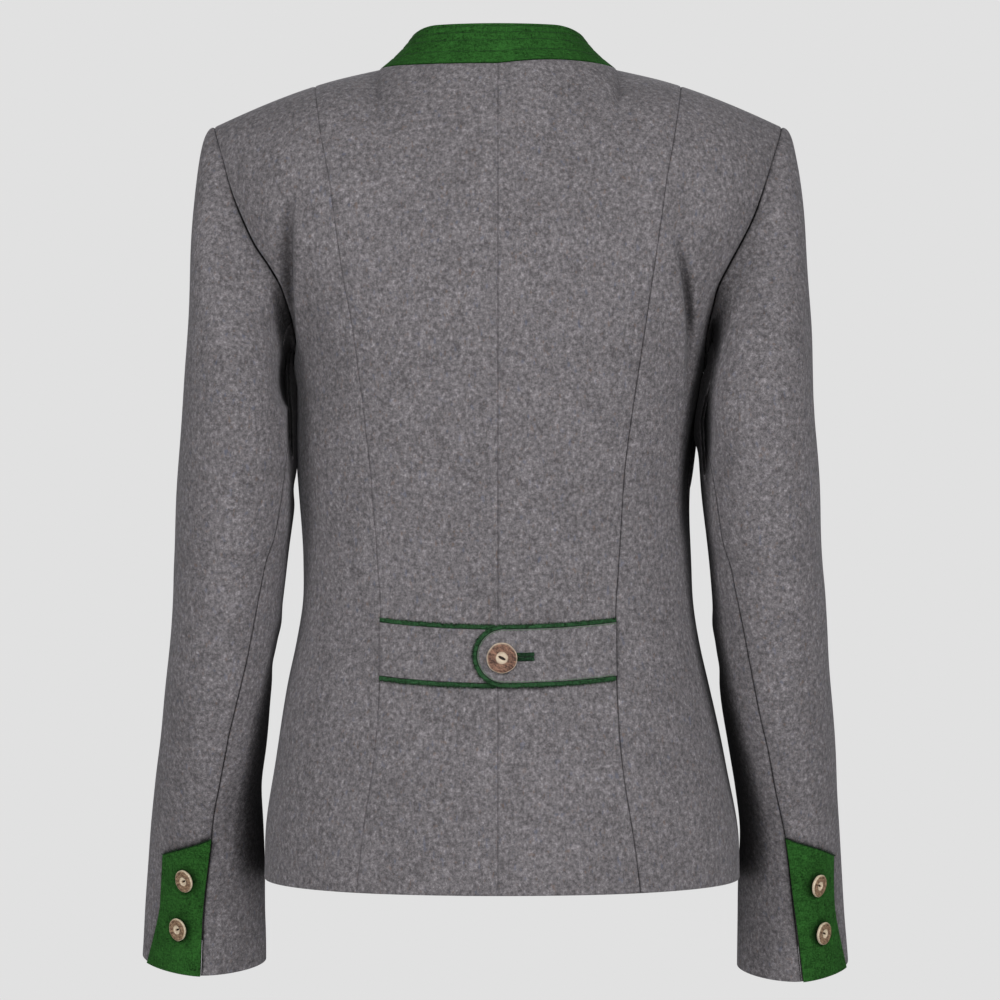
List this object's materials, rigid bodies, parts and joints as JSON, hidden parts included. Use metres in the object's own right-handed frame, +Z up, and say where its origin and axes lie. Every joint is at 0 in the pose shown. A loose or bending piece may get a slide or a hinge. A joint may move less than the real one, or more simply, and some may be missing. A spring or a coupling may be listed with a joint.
{
  "type": "women's loden jacket",
  "caption": "Short waisted loden jacket in its worn shape: set-in sleeves, princess seams, green felt stand collar, back half belt, cuff patches and antler buttons",
  "frame": {"origin": "midway between the two points where the shoulder seams meet the neckline, at their height", "axes": "+Z up, +Y forward out of the wearer's chest, -Y the back, +X the wearer's right"},
  "size_m": [0.5134, 0.249, 0.6795],
  "materials": {
    "grey_loden": "mottled mid-grey wool loden, short felted nap",
    "green_felt": "green wool felt, matt",
    "antler": "polished staghorn with bark at the rim"
  },
  "bodies": {
    "root": {"back_left": "grey_loden", "back_right": "grey_loden", "side_back_left": "grey_loden", "side_back_right": "grey_loden", "side_front_left": "grey_loden", "side_front_right": "grey_loden", "front_left": "grey_loden", "front_right": "grey_loden", "upper_sleeve_left": "grey_loden", "upper_sleeve_right": "grey_loden", "under_sleeve_left": "grey_loden", "under_sleeve_right": "grey_loden", "belt_left": "grey_loden", "belt_right": "grey_loden", "collar": "green_felt", "piping_left_upper": "green_felt", "piping_left_lower": "green_felt", "piping_right": "green_felt", "buttonhole_upper": "green_felt", "buttonhole_lower": "green_felt", "cuff_patch_left": "green_felt", "cuff_patch_right": "green_felt", "belt_button": "antler", "cuff_button_left_1": "antler", "cuff_button_left_2": "antler", "cuff_button_right_1": "antler", "cuff_button_right_2": "antler", "front_button_1": "antler", "front_button_2": "antler", "front_button_3": "antler", "front_button_4": "antler", "front_button_5": "antler"}
  },
  "joints": []
}
